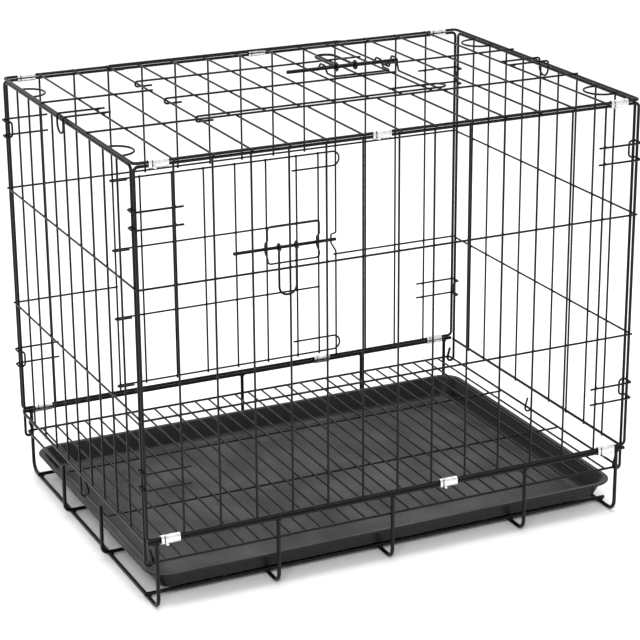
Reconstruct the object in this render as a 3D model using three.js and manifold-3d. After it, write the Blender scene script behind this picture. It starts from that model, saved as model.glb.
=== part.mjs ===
// Wire dog crate: folding wire panels clipped to a wire base, with a rear door, a roof door and a
// slide-out tray. Millimetres, +X along the crate, +Y to the rear, +Z up, standing on z = 0.
import * as THREE from "three";
import { mergeVertices } from "three/addons/utils/BufferGeometryUtils.js";
import Module from "manifold-3d";

const wasm = await Module();
wasm.setup();

// ---- driving sizes ----
const LENGTH = 610; // between the centres of the corner wires, along X
const WIDTH = 430; // between the planes of the front and back panels
const TOP_PLANE = 508; // height of the top panel's edge wires
const LONG_SPACES = 14; // mesh spaces along the length
const END_SPACES = 10; // mesh spaces across an end panel
const GRATE_SPACES = 32; // spaces between the floor grate's wires
const ROWS = [0.315, 0.665]; // where the cross wires sit between a panel's far edges

const WIRE = 2.5; // mesh wire
const EDGE = 3.5; // panel edge wire
const BASE = 4.5; // base wire
const GRATE_EDGE = 3; // the grate's outer wires; the end panels hook round the end ones
const CORNER = 5; // bend radius of a panel's corner

const GAP = 0.3; // between pieces that are welded or rest on each other
const RUN = 0.6; // running clearance between pieces that move
const WELD = 0.7; // how far crossing mesh wires sink into each other
const DOOR_WELD = 1.5; // the same, in a door
const LAP = 0.1; // where one wire carries on from another, one of them is this much thicker

const RAIL_Z = 82; // base rails
const GRATE_Z = 57; // the grate's cross wires
const LEG_INSET = 11; // the end legs stand in from the rails' ends
const LEG_STEPS = [145, 288, 462]; // the legs between, from the left end leg
const LEG_BEND = 12;
const SIDE_RUNNER_INSET = 30; // from the panels' planes
const HOOKED_RUNNER_Y = 65;
const RISER_TOP = 67; // the hooked runners rise this high at the left end
const RISER_BEND = 8;

const TRAY_SHORT = 5; // the tray ends this far short of each end of the crate
const TRAY_PLAY = 6.75; // between the tray's rim and the legs beside it
const TRAY_X = 3; // the tray stands a little to the right
const TRAY_RIM_Z = 35;
const TRAY_WALL = 2;
const TRAY_SLOPE = 13; // how far the walls lean out from floor to rim
const TRAY_LIP = 5;
const TRAY_CORNER = 22;

const DOOR_LEFT = 3; // the mesh wire that a door hinges on, counted from the left edge
const DOOR_RIGHT = 10; // the mesh wire that a door closes against
const DOOR_GAP = 7.5; // from the doorway's edge wires to the door's own
const DOOR_ROWS = 4;
const DOOR_FIRST = 36; // from the hinge wire to the door's first upright
const DOOR_PITCH = 42.8;
const DOOR_UPRIGHTS = 6;
const REAR_EDGE_GAP = 24; // from the doorway's right wire back to the door's free edge
const ROOF_EDGE_GAP = 16;
const STOP_REACH = 6.8; // a door's stops pass the doorway's right wire by this much
const STOP_BEND = 9.5;
const STOP_BACK = 60.7; // the stops' free ends, measured back from that wire
const LOOP_TAIL = 18; // a hinge loop's tail, past the hinge wire

const ROD = 4.5; // latch bolt
const ROD_TIP = 5.3; // the bolt passes the doorway's right wire by this much
const ROD_LENGTH = 147;
const ROD_ROW = 30.7; // from the door's second row to the bolt
const HANDLE = 3.2;
const HANDLE_LEGS = [-77, -52]; // the handle's legs, measured from the doorway's right wire
const HANDLE_DROP = 66;
const EYE_WALL = 2.15;
const EYE_PLAY = 0.5;
const BRACKET_SIDES = [-94.7, -20.7];
const BRACKET_DEPTH = 50.7;
const BUMP_HALF = 6; // half of the straight crest of a bump over the bolt
const BUMP_RAMP = 6.5; // length of each ramp up to it

const HOOK_TOP = 56.5; // upper corner hooks, below the panel's top wire
const HOOK_LOW = 69.7; // lower corner hooks, above the panel's bottom wire
const HOOK_SPREAD = 19.5;
const HOOK_PAST = 9; // a hook's legs run this far past the first mesh wire
const HOOK_TIP = 7.5; // a hook's loop reaches back by this much, inside the end panel's edge wire
const HOOK_CLEAR = 1.2; // between a hook and the end panel inside it
const TOP_HOOK_SPREAD = 20;
const TOP_HOOK_DROP = 20;
const TOP_HOOK_LEG = 56;

const KNUCKLE = 4.5; // mean bend radius of the end panels' hinge hooks
const KNUCKLE_TAIL = 14;
const HANDLOOP_DEPTH = 26; // the loops at an end panel's top, reaching inwards from its plane

const CLIP_LENGTH = 22;
const CLIP_WALL = 0.9;
const CLIP_CORNER_X = 278;
const CLIP_SPACE = { frontTop: 6.5, backTop: 7.5, frontBase: 8.5, backBase: 9.5 };

// ---- worked out from them ----
const halfLength = LENGTH / 2;
const halfWidth = WIDTH / 2;
const pitch = LENGTH / LONG_SPACES;
const meshX = (i) => -halfLength + i * pitch;
const crossOffset = WIRE - WELD; // crossing wires lie beside each other
const panelTop = TOP_PLANE - EDGE - GAP;
const panelBottom = RAIL_Z + BASE / 2 + GAP + EDGE / 2;
const grateHalf = halfWidth - BASE / 2 - GAP - GRATE_EDGE / 2;
const endHalf = grateHalf - GRATE_EDGE / 2 - RUN - EDGE / 2;
const runnerZ = BASE + GAP + BASE / 2;
const trayFloor = runnerZ + BASE / 2 + GAP;
const hingeX = halfLength - KNUCKLE; // the grate's end wires, which are the end panels' hinges
// A door's plane, outside the plane of its panel. A hinge loop's bend clears a mesh wire's corners.
const doorW = Math.max(WIRE + RUN, WIRE / 2 + WIRE * Math.SQRT1_2 + LAP / 2);
const eyeOuter = ROD / 2 + EYE_PLAY + EYE_WALL;
const legsX = [0, ...LEG_STEPS, LENGTH - 2 * LEG_INSET].map((step) => LEG_INSET - halfLength + step);
const rodW = doorW + WIRE / 2 + GAP + eyeOuter;
const bumpW = rodW + ROD / 2 + 1.5 * RUN + WIRE / 2;
const bracketW = doorW + WIRE + GAP;
const catchX = meshX(DOOR_RIGHT);
const hookPlane = halfLength + EDGE / 2 + HOOK_CLEAR + WIRE / 2;
const hookFace = halfWidth + EDGE / 2 + GAP + WIRE / 2;
const hookTip = endHalf - EDGE / 2 - RUN - WIRE / 2;
const rearReach = halfWidth + bumpW + WIRE / 2;
const frontReach = hookFace + WIRE / 2;

// ---- geometry helpers ----
const vec = (x, y, z) => new THREE.Vector3(x, y, z);

function solid(geometry) {
  const bare = geometry.clone();
  bare.deleteAttribute("normal");
  bare.deleteAttribute("uv");
  const merged = mergeVertices(bare, 1e-4);
  return new wasm.Manifold(
    new wasm.Mesh({
      numProp: 3,
      vertProperties: merged.attributes.position.array,
      triVerts: new Uint32Array(merged.index.array),
    }),
  );
}

function geometryOf(manifold) {
  const mesh = manifold.getMesh();
  const geometry = new THREE.BufferGeometry();
  geometry.setAttribute("position", new THREE.BufferAttribute(mesh.vertProperties, 3));
  geometry.setIndex(new THREE.BufferAttribute(mesh.triVerts, 1));
  geometry.computeVertexNormals();
  return geometry;
}

function join(geometries) {
  return geometryOf(geometries.map(solid).reduce((whole, piece) => whole.add(piece)));
}

// A straight wire of square section between two points that differ along one axis.
function bar(start, end, size) {
  const box = new THREE.Box3().setFromPoints([start, end]);
  const span = box.getSize(vec(0, 0, 0));
  const middle = box.getCenter(vec(0, 0, 0));
  const geometry = new THREE.BoxGeometry(span.x || size, span.y || size, span.z || size);
  return geometry.translate(middle.x, middle.y, middle.z);
}

// A path's points with its corners rounded to a radius.
function rounded(points, radius, closed = false) {
  const path = [];
  const steps = 4;
  points.forEach((at, i) => {
    if (!closed && (i === 0 || i === points.length - 1)) {
      path.push(at.clone());
      return;
    }
    const from = points.at(i - 1).clone().sub(at).normalize();
    const to = points[(i + 1) % points.length].clone().sub(at).normalize();
    const half = Math.acos(THREE.MathUtils.clamp(from.dot(to), -1, 1)) / 2;
    const middle = from.clone().add(to).normalize().multiplyScalar(radius / Math.sin(half)).add(at);
    const first = from.clone().multiplyScalar(radius / Math.tan(half)).add(at).sub(middle);
    const turn = Math.PI - 2 * half;
    const side = Math.sign(first.x * (at.y - middle.y) - first.y * (at.x - middle.x));
    for (let step = 0; step <= steps; step++)
      path.push(first.clone().rotateAround(new THREE.Vector2(), (side * turn * step) / steps).add(middle));
  });
  return path;
}

// The path moved sideways, with mitred corners.
function offset(path, distance, closed) {
  return path.map((at, i) => {
    const back = i > 0 || closed ? at.clone().sub(path.at(i - 1)).normalize() : null;
    const ahead =
      i < path.length - 1 || closed ? path[(i + 1) % path.length].clone().sub(at).normalize() : null;
    const along = (back || ahead).clone().add(ahead || back).normalize();
    const stretch = back && ahead ? Math.sqrt((1 + back.dot(ahead)) / 2) : 1;
    return new THREE.Vector2(-along.y, along.x).multiplyScalar(distance / stretch).add(at);
  });
}

// A wire of square section bent in one plane. The plane is given by its two directions and a point.
function bent(corners, radius, size, across, up, origin, closed = false) {
  const path = rounded(corners.map(([a, b]) => new THREE.Vector2(a, b)), radius, closed);
  const left = offset(path, size / 2, closed);
  const right = offset(path, -size / 2, closed);
  const shape = new THREE.Shape(closed ? right : [...left, ...right.reverse()]);
  if (closed) shape.holes.push(new THREE.Path(left));
  const geometry = new THREE.ExtrudeGeometry(shape, { depth: size, bevelEnabled: false });
  geometry.translate(0, 0, -size / 2);
  const basis = new THREE.Matrix4().makeBasis(across, up, across.clone().cross(up));
  return geometry.applyMatrix4(basis.setPosition(origin));
}

const X = vec(1, 0, 0);
const Y = vec(0, 1, 0);
const Z = vec(0, 0, 1);

// ---- materials and scene graph ----
const blackWire = { color: 0x1c1c1e, roughness: 0.42, metalness: 0.35 };
const zincSheet = { color: 0xd2d4d6, roughness: 0.35, metalness: 1 };
const blackPlastic = { color: 0x3a3a3c, roughness: 0.6, metalness: 0 };

const crate = new THREE.Group();
crate.position.y = -(rearReach - frontReach) / 2; // the origin is under the middle of the crate

function addMesh(parent, name, geometry, finish) {
  const mesh = new THREE.Mesh(geometry, new THREE.MeshStandardMaterial(finish));
  mesh.name = name;
  parent.add(mesh);
}

// A group whose own X, Y and Z run along the given directions from an origin.
function plane(across, up, origin) {
  const group = new THREE.Group();
  const basis = new THREE.Matrix4().makeBasis(across, up, across.clone().cross(up));
  basis.setPosition(origin).decompose(group.position, group.quaternion, group.scale);
  crate.add(group);
  return group;
}

// ---- base ----
function addBase() {
  for (const [name, y] of [["front_rail", -halfWidth], ["back_rail", halfWidth]])
    addMesh(crate, name, bar(vec(-halfLength, y, RAIL_Z), vec(halfLength, y, RAIL_Z), BASE), blackWire);

  const legTop = RAIL_Z - BASE / 2 - GAP;
  legsX.forEach((x, i) => {
    const corners = [
      [-halfWidth, legTop],
      [-halfWidth, BASE / 2],
      [halfWidth, BASE / 2],
      [halfWidth, legTop],
    ];
    addMesh(crate, "leg_wire_" + (i + 1), bent(corners, LEG_BEND, BASE, Y, Z, vec(x, 0, 0)), blackWire);
  });

  const runnerEnd = legsX.at(-1) + BASE / 2;
  const riserX = -(hingeX + GRATE_EDGE / 2 + GAP + BASE / 2);
  for (const [side, sign] of [["front", -1], ["back", 1]]) {
    const y = sign * (halfWidth - SIDE_RUNNER_INSET);
    const straight = bar(vec(legsX[0] - BASE / 2, y, runnerZ), vec(runnerEnd, y, runnerZ), BASE);
    addMesh(crate, "side_runner_" + side, straight, blackWire);
    const corners = [
      [riserX, RISER_TOP],
      [riserX, runnerZ],
      [runnerEnd, runnerZ],
    ];
    const hooked = bent(corners, RISER_BEND, BASE, X, Z, vec(0, sign * HOOKED_RUNNER_Y, 0));
    addMesh(crate, "hooked_runner_" + side, hooked, blackWire);
  }
}

function addGrate() {
  const corners = [
    [-hingeX, -grateHalf],
    [hingeX, -grateHalf],
    [hingeX, grateHalf],
    [-hingeX, grateHalf],
  ];
  const wires = [bent(corners, GRATE_EDGE, GRATE_EDGE, X, Y, vec(0, 0, GRATE_Z), true)];
  for (let i = 1; i < GRATE_SPACES; i++) {
    const x = -hingeX + (2 * hingeX * i) / GRATE_SPACES;
    wires.push(bar(vec(x, -grateHalf, GRATE_Z), vec(x, grateHalf, GRATE_Z), WIRE));
  }
  for (const y of [-grateHalf / 3, grateHalf / 3]) {
    const low = GRATE_Z - crossOffset;
    wires.push(bar(vec(-hingeX, y, low), vec(hingeX, y, low), WIRE));
  }
  addMesh(crate, "floor_grate", join(wires), blackWire);
}

// ---- tray ----
// A rounded rectangle, by half length and half width.
function roundedRectangle(a, b, r) {
  const corners = [
    [a, b],
    [-a, b],
    [-a, -b],
    [a, -b],
  ];
  return rounded(corners.map(([x, y]) => new THREE.Vector2(x, y)), r, true);
}

// A pan-shaped block, from its foot up to its rim, that widens by the slope on its way.
function panBlock(halfX, halfY, corner, foot, rim) {
  const shape = new THREE.Shape(roundedRectangle(halfX - TRAY_SLOPE, halfY - TRAY_SLOPE, corner));
  const block = new THREE.ExtrudeGeometry(shape, { depth: rim - foot, bevelEnabled: false });
  const place = block.attributes.position;
  const growX = halfX / (halfX - TRAY_SLOPE);
  const growY = halfY / (halfY - TRAY_SLOPE);
  for (let i = 0; i < place.count; i++)
    if (place.getZ(i) > (rim - foot) / 2) place.setXY(i, place.getX(i) * growX, place.getY(i) * growY);
  return block.translate(TRAY_X, 0, foot);
}

function addTray() {
  const halfX = halfLength - TRAY_SHORT;
  const halfY = halfWidth - BASE / 2 - TRAY_PLAY;
  const bodyX = halfX - TRAY_LIP;
  const bodyY = halfY - TRAY_LIP;
  const outside = solid(panBlock(bodyX, bodyY, TRAY_CORNER, trayFloor, TRAY_RIM_Z));
  const innerX = bodyX - TRAY_WALL;
  const innerY = bodyY - TRAY_WALL;
  const floorTop = trayFloor + TRAY_WALL;
  const inside = solid(panBlock(innerX, innerY, TRAY_CORNER - TRAY_WALL, floorTop, TRAY_RIM_Z + GAP));
  const lip = new THREE.Shape(roundedRectangle(halfX, halfY, TRAY_CORNER + TRAY_LIP));
  const lipBand = new THREE.ExtrudeGeometry(lip, { depth: TRAY_WALL, bevelEnabled: false });
  lipBand.translate(TRAY_X, 0, TRAY_RIM_Z - TRAY_WALL);
  addMesh(crate, "tray", geometryOf(outside.add(solid(lipBand)).subtract(inside)), blackPlastic);
}

// ---- panels ----
// The mesh wires of a long panel lie in its own XY plane, Z pointing out of the crate. low and high
// are its far edges along Y, and its cross wires lie outside the uprights.
const rowsOf = (low, high) => ROWS.map((share) => low + share * (high - low));

function edgeFrame(low, high) {
  const corners = [
    [-halfLength, low],
    [halfLength, low],
    [halfLength, high],
    [-halfLength, high],
  ];
  return bent(corners, CORNER, EDGE, X, Y, vec(0, 0, 0), true);
}

const upright = (x, from, to) => bar(vec(x, from, 0), vec(x, to, 0), WIRE);
const row = (y, from, to, out) => bar(vec(from, y, out), vec(to, y, out), WIRE);

function addFrontPanel() {
  const front = plane(X, Z, vec(0, -halfWidth, 0));
  const wires = [edgeFrame(panelBottom, panelTop)];
  for (let i = 1; i < LONG_SPACES; i++) wires.push(upright(meshX(i), panelBottom, panelTop));
  for (const share of ROWS) {
    const y = panelTop - share * (panelTop - panelBottom);
    wires.push(row(y, -halfLength, halfLength, crossOffset));
  }
  addMesh(front, "front_panel", join(wires), blackWire);
}

// The bump by which a wire passes over the bolt, as points along Y and Z.
const bumpOver = (y, foot) => [
  [y - BUMP_HALF - BUMP_RAMP, foot],
  [y - BUMP_HALF, bumpW],
  [y + BUMP_HALF, bumpW],
  [y + BUMP_HALF + BUMP_RAMP, foot],
];

// A panel with a doorway that runs from its first row to its far edge, along its own +Y.
function addDoorwayPanel(group, name, near, far, boltY) {
  const [doorwayRow, rowAbove] = rowsOf(near, far);
  const stubRow = Math.max(rowAbove, boltY + BUMP_HALF + BUMP_RAMP + WIRE + GAP); // clears the bump
  const wires = [edgeFrame(near, far)];
  for (let i = 1; i < LONG_SPACES; i++) {
    const inDoorway = i > DOOR_LEFT && i < DOOR_RIGHT;
    if (i !== DOOR_RIGHT) wires.push(upright(meshX(i), near, inDoorway ? doorwayRow : far));
  }
  wires.push(row(doorwayRow, -halfLength, halfLength, crossOffset));
  wires.push(row(stubRow, -halfLength, meshX(DOOR_LEFT), crossOffset));
  wires.push(row(stubRow, catchX, halfLength, crossOffset));
  addMesh(group, name, join(wires), blackWire);
}

// The doorway's right wire, which bumps out over the bolt's tip.
function addCatchWire(group, name, near, far, boltY) {
  const inset = EDGE / 2 + GAP;
  const low = crossOffset - WIRE - GAP;
  const path = [[near + inset, low], ...bumpOver(boltY, low), [far - inset, low]];
  addMesh(group, name + "_catch_wire", bent(path, WIRE, WIRE, Y, Z, vec(catchX, 0, 0)), blackWire);
}

function addDoor(group, name, rows, edgeGap) {
  const hinge = meshX(DOOR_LEFT);
  const edge = catchX - edgeGap;
  const wires = [];
  rows.forEach((y, i) => {
    const outermost = i === 0 || i === rows.length - 1;
    const loop = [
      [outermost ? hinge + LOOP_TAIL : edge, doorW],
      [hinge - doorW, doorW],
      [hinge - doorW, -doorW],
      [hinge + LOOP_TAIL, -doorW],
    ];
    const size = outermost ? WIRE + LAP : WIRE;
    wires.push(bent(loop, doorW - LAP, size, X, Z, vec(0, y, 0)));
  });
  const stopTip = catchX + STOP_REACH;
  for (const [y, inward] of [[rows[0], 1], [rows.at(-1), -1]]) {
    const stop = [
      [hinge + WIRE, y],
      [stopTip, y],
      [stopTip, y + inward * 2 * STOP_BEND],
      [catchX - STOP_BACK, y + inward * 2 * STOP_BEND],
    ];
    wires.push(bent(stop, STOP_BEND - LAP, WIRE, X, Y, vec(0, 0, doorW)));
  }
  const uprights = [edge];
  for (let i = 0; i < DOOR_UPRIGHTS; i++) uprights.push(hinge + DOOR_FIRST + i * DOOR_PITCH);
  const inside = doorW - WIRE + DOOR_WELD;
  for (const x of uprights) wires.push(bar(vec(x, rows[0], inside), vec(x, rows.at(-1), inside), WIRE));
  addMesh(group, name, join(wires), blackWire);
}

function addLatch(group, name, rowY, boltY) {
  const low = rowY;
  const high = rowY + BRACKET_DEPTH;
  const [left, right] = BRACKET_SIDES.map((x) => catchX + x);
  const path = [[low, bracketW], ...bumpOver(boltY, bracketW), [high, bracketW]];
  const bracket = [left, right].map((x) => bent(path, WIRE, WIRE, Y, Z, vec(x, 0, 0)));
  for (const y of [low, high]) bracket.push(row(y, left - WIRE, right + WIRE, bracketW));
  addMesh(group, name + "_latch_bracket", join(bracket), blackWire);

  const bolt = new THREE.CylinderGeometry(ROD / 2, ROD / 2, ROD_LENGTH, 12).rotateZ(Math.PI / 2);
  bolt.translate(catchX + ROD_TIP - ROD_LENGTH / 2, boltY, rodW);
  addMesh(group, name + "_bolt", bolt, blackWire);

  const bore = ROD / 2 + EYE_PLAY;
  const profile = [
    [bore, -HANDLE / 2],
    [eyeOuter, -HANDLE / 2],
    [eyeOuter, HANDLE / 2],
    [bore, HANDLE / 2],
    [bore, -HANDLE / 2],
  ].map(([r, y]) => new THREE.Vector2(r, y));
  const legs = HANDLE_LEGS.map((x) => catchX + x);
  const eyes = legs.map((x) =>
    new THREE.LatheGeometry(profile, 16).rotateZ(Math.PI / 2).translate(x, boltY, rodW),
  );
  const reach = boltY + bore + WELD;
  const grip = [
    [legs[0], reach],
    [legs[0], boltY + HANDLE_DROP],
    [legs[1], boltY + HANDLE_DROP],
    [legs[1], reach],
  ];
  const loop = bent(grip, (legs[1] - legs[0]) / 2 - WELD, HANDLE, X, Y, vec(0, 0, rodW));
  addMesh(group, name + "_bolt_handle", join([...eyes, loop]), blackWire);
}

function addDoorSide(name, panelName, group, near, far, edgeGap) {
  const first = rowsOf(near, far)[0] + DOOR_GAP;
  const last = far - DOOR_GAP;
  const rows = Array.from({ length: DOOR_ROWS }, (_, i) => first + ((last - first) * i) / (DOOR_ROWS - 1));
  const boltY = rows[1] + ROD_ROW;
  addDoorwayPanel(group, panelName, near, far, boltY);
  addCatchWire(group, name, near, far, boltY);
  addDoor(group, name + "_door", rows, edgeGap);
  addLatch(group, name, rows[1], boltY);
}

// An end panel hangs in its own XY plane, Z pointing out of the crate, and hooks round the grate's
// end wire with its two edge wires and its middle wire. Two hand loops reach inwards from its top.
function addEndPanel(end, side) {
  const group = plane(vec(0, side, 0), Z, vec(side * halfLength, 0, 0));
  const endPitch = (2 * endHalf) / END_SPACES;
  const rim = [
    [-endHalf, GRATE_Z],
    [-endHalf, panelTop],
    [endHalf, panelTop],
    [endHalf, GRATE_Z],
  ];
  const wires = [bent(rim, CORNER, EDGE, X, Y, vec(0, 0, 0))];
  wires.push(bar(vec(-endHalf, RAIL_Z, 0), vec(endHalf, RAIL_Z, 0), EDGE));
  for (let i = 1; i < END_SPACES; i++) {
    const foot = i === END_SPACES / 2 ? GRATE_Z : RAIL_Z;
    wires.push(upright(-endHalf + i * endPitch, foot, panelTop));
  }
  for (const share of ROWS)
    wires.push(row(panelTop - share * (panelTop - panelBottom), -endHalf, endHalf, crossOffset));
  const knuckle = [
    [GRATE_Z + EDGE, 0],
    [GRATE_Z - KNUCKLE, 0],
    [GRATE_Z - KNUCKLE, -2 * KNUCKLE],
    [GRATE_Z + KNUCKLE_TAIL, -2 * KNUCKLE],
  ];
  for (const [x, size] of [[-endHalf, EDGE], [0, WIRE], [endHalf, EDGE]])
    wires.push(bent(knuckle, KNUCKLE - LAP, size + LAP, Y, Z, vec(x, 0, 0)));
  addMesh(group, end + "_end_panel", join(wires), blackWire);
  for (const [place, ySign] of [["front", -1], ["back", 1]]) {
    const from = side * ySign * (endHalf - 1.5 * endPitch) - endPitch / 2;
    const root = -(EDGE / 2 + GAP);
    const handLoop = [
      [from, root],
      [from, -HANDLOOP_DEPTH],
      [from + endPitch, -HANDLOOP_DEPTH],
      [from + endPitch, root],
    ];
    const wire = bent(handLoop, endPitch / 2 - WELD, WIRE, X, Z, vec(0, panelTop, 0));
    addMesh(group, [end, "hand_loop", place].join("_"), wire, blackWire);
  }
}

// ---- hooks that hold the end panels ----
function addCornerHooks() {
  const levels = { upper: panelTop - HOOK_TOP, lower: panelBottom + HOOK_LOW };
  for (const [face, ySign] of [["front", -1], ["back", 1]])
    for (const [end, xSign] of [["left", -1], ["right", 1]])
      for (const [level, z] of Object.entries(levels)) {
        const y = ySign * hookFace;
        const inner = xSign * (halfLength - pitch - HOOK_PAST);
        const outer = xSign * hookPlane;
        const ends = [z - HOOK_SPREAD / 2, z + HOOK_SPREAD / 2];
        const tipY = ySign * hookTip;
        const legs = ends.flatMap((at) => [
          bar(vec(inner, y, at), vec(outer, y, at), WIRE),
          bar(vec(outer, y, at), vec(outer, tipY, at), WIRE + LAP),
        ]);
        const turned = [
          [outer, ends[0]],
          [outer - xSign * HOOK_TIP, ends[0]],
          [outer - xSign * HOOK_TIP, ends[1]],
          [outer, ends[1]],
        ];
        const loop = bent(turned, HOOK_TIP - LAP, WIRE, X, Z, vec(0, tipY, 0));
        addMesh(crate, ["corner_hook", face, end, level].join("_"), join([...legs, loop]), blackWire);
      }
}

function addTopHooks() {
  const z = TOP_PLANE + EDGE / 2 + GAP + WIRE / 2;
  for (const [end, sign] of [["left", -1], ["right", 1]]) {
    const outer = sign * hookPlane;
    const ends = [-TOP_HOOK_SPREAD / 2, TOP_HOOK_SPREAD / 2];
    const legs = ends.map((y) => bar(vec(outer - sign * TOP_HOOK_LEG, y, z), vec(outer, y, z), WIRE));
    const turned = [
      [ends[0], z],
      [ends[0], z - TOP_HOOK_DROP],
      [ends[1], z - TOP_HOOK_DROP],
      [ends[1], z],
    ];
    const loop = bent(turned, TOP_HOOK_SPREAD / 2 - LAP, WIRE + LAP, Y, Z, vec(outer, 0, 0));
    addMesh(crate, "top_hook_" + end, join([...legs, loop]), blackWire);
  }
}

// ---- clips ----
// A sheet sleeve, round two wires that lie one above the other.
function clip(lowerZ, lowerSize, upperZ, upperSize) {
  const foot = lowerZ - lowerSize / 2 - GAP;
  const head = upperZ + upperSize / 2 + GAP;
  const inside = { across: Math.max(lowerSize, upperSize) / 2 + GAP, up: (head - foot) / 2 };
  const outline = (grow) => roundedRectangle(inside.across + grow, inside.up + grow, GAP + grow);
  const shape = new THREE.Shape(outline(CLIP_WALL));
  shape.holes.push(new THREE.Path(outline(0).reverse()));
  const sleeve = new THREE.ExtrudeGeometry(shape, { depth: CLIP_LENGTH, bevelEnabled: false });
  const basis = new THREE.Matrix4().makeBasis(Y, Z, X);
  return sleeve.applyMatrix4(basis).translate(-CLIP_LENGTH / 2, 0, (head + foot) / 2);
}

function addClips() {
  const levels = {
    Top: clip(panelTop, EDGE, TOP_PLANE, EDGE),
    Base: clip(RAIL_Z, BASE, panelBottom, EDGE),
  };
  for (const [face, ySign] of [["front", -1], ["back", 1]])
    for (const [level, sleeve] of Object.entries(levels)) {
      const places = {
        left: -CLIP_CORNER_X,
        middle: meshX(CLIP_SPACE[face + level]),
        right: CLIP_CORNER_X,
      };
      for (const [place, x] of Object.entries(places)) {
        const name = ["clip", face, level.toLowerCase(), place].join("_");
        addMesh(crate, name, sleeve.clone().translate(x, ySign * halfWidth, 0), zincSheet);
      }
    }
}

addBase();
addGrate();
addTray();
addFrontPanel();
const back = plane(X, vec(0, 0, -1), vec(0, halfWidth, 0));
addDoorSide("rear", "back_panel", back, -panelTop, -panelBottom, REAR_EDGE_GAP);
const roof = plane(X, Y, vec(0, 0, TOP_PLANE));
addDoorSide("roof", "top_panel", roof, -halfWidth, halfWidth, ROOF_EDGE_GAP);
addEndPanel("left", -1);
addEndPanel("right", 1);
addCornerHooks();
addTopHooks();
addClips();

export default crate;
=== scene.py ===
"""A folding wire dog crate: coated round wires welded into panels, zinc clips and a moulded tray.

Lengths are in millimetres until a mesh is made, in the frame's own axes: +X along the crate, +Y to
the rear, +Z up. Every place is worked out from the frame's boxes and the sizes below.
"""

import math
from itertools import accumulate

import bmesh
import bpy
from mathutils import Matrix, Quaternion, Vector


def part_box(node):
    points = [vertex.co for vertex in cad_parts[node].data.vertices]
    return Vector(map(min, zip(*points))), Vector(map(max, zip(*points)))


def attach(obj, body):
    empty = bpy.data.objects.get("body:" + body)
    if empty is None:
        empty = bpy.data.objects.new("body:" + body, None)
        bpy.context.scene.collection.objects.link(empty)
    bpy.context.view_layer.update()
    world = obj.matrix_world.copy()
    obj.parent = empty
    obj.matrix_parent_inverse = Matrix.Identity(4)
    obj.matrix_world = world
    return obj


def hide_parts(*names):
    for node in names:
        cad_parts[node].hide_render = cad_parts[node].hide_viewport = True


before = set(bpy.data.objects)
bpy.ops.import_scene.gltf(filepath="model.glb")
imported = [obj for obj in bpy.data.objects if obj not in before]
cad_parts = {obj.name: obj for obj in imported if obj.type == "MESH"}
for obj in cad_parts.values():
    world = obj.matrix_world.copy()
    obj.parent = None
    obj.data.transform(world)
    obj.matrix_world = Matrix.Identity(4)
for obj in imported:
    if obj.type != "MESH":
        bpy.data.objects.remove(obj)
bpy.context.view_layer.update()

MM = 0.001
X, Y, Z = Vector((1, 0, 0)), Vector((0, 1, 0)), Vector((0, 0, 1))


# ---- camera ----
def add_camera(stand, azimuth, elevation, roll, lens):
    """A camera at a point, looking along an azimuth from +Y towards +X and down by an elevation."""
    ahead = Vector(
        (
            math.sin(azimuth) * math.cos(elevation),
            math.cos(azimuth) * math.cos(elevation),
            -math.sin(elevation),
        )
    )
    right = Vector((math.cos(azimuth), -math.sin(azimuth), 0))
    up = right.cross(ahead)
    turned_right = right * math.cos(roll) + up * math.sin(roll)
    turned_up = up * math.cos(roll) - right * math.sin(roll)
    axes = Matrix((turned_right, turned_up, -ahead)).transposed()
    data = bpy.data.cameras.new("camera")
    data.lens = lens
    camera = bpy.data.objects.new("camera", data)
    camera.matrix_world = Matrix.Translation(Vector(stand) * MM) @ axes.to_4x4()
    bpy.context.scene.collection.objects.link(camera)
    bpy.context.scene.camera = camera


add_camera((-1044.9, -2225.4, 1091.5), azimuth=0.442, elevation=0.340, roll=-0.007, lens=121.8)


# ---- sizes ----
LONG_SPACES = 14  # mesh spaces along the length
END_SPACES = 10  # mesh spaces across an end panel
GRATE_SPACES = 32  # spaces between the floor grate's wires
ROWS = (0.315, 0.665)  # where the cross wires sit, as shares of the way across a panel

WIRE = 2.5  # mesh wire
EDGE = 3.5  # panel edge wire
BASE = 4.5  # base wire
GRATE_EDGE = 3.0
CORNER = 5.0  # bend radius of a panel's corner
SINK = 0.7  # how far welded wires sink into each other
LAID = WIRE - SINK  # crossing mesh wires lie this far apart
POKE = 3.2  # a wire's cut end stands past the edge wire that it is welded to
TIP = 2.3  # the same, past a mesh wire
CHAMFER = 0.35  # broken edge of a cut wire
EASE = 0.1  # a bend is tighter by this than the room it has, so that two bends never meet
GAP = 0.3  # between a door and the bracket that is welded to it
COLLAR_WIDE, COLLAR_HIGH = 0.78, 0.4  # half of a weld's collar, as shares of the wire's thickness

LEG_BEND = 12.0
RISER_BEND = 8.0
KNUCKLE = 4.5  # mean bend radius of the end panels' hinge hooks
KNUCKLE_TAIL = 14.0
KNUCKLE_CLOSE = 3.4  # its tail closes this far towards the wire that it came from
HAND_LOOP_DEPTH = 26.0
HOOK_SPREAD = 19.5
HOOK_BEND = 3.0  # where a hook's legs turn round the corner
HOOK_TIP = 7.5  # a corner hook's loop reaches back by this much
TOP_HOOK_SPREAD = 20.0

DOOR_LEFT, DOOR_RIGHT = 3, 10  # the mesh wires that a door hangs on and closes against
DOOR_GAP = 7.5  # from the doorway's edge wires to the door's own
DOOR_ROWS = 4
DOOR_FIRST, DOOR_PITCH, DOOR_UPRIGHTS = 36.0, 42.8, 6
DOOR_LIFT = 3.1  # a door's plane, outside the plane of its panel
STOP_REACH = 6.8
STOP_BEND = 9.5
STOP_BACK = 60.7
LOOP_TAIL = 18.0
DOOR_EDGE_GAP = {"rear": 24.0, "roof": 16.0}  # from the catch wire back to the last upright

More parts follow.
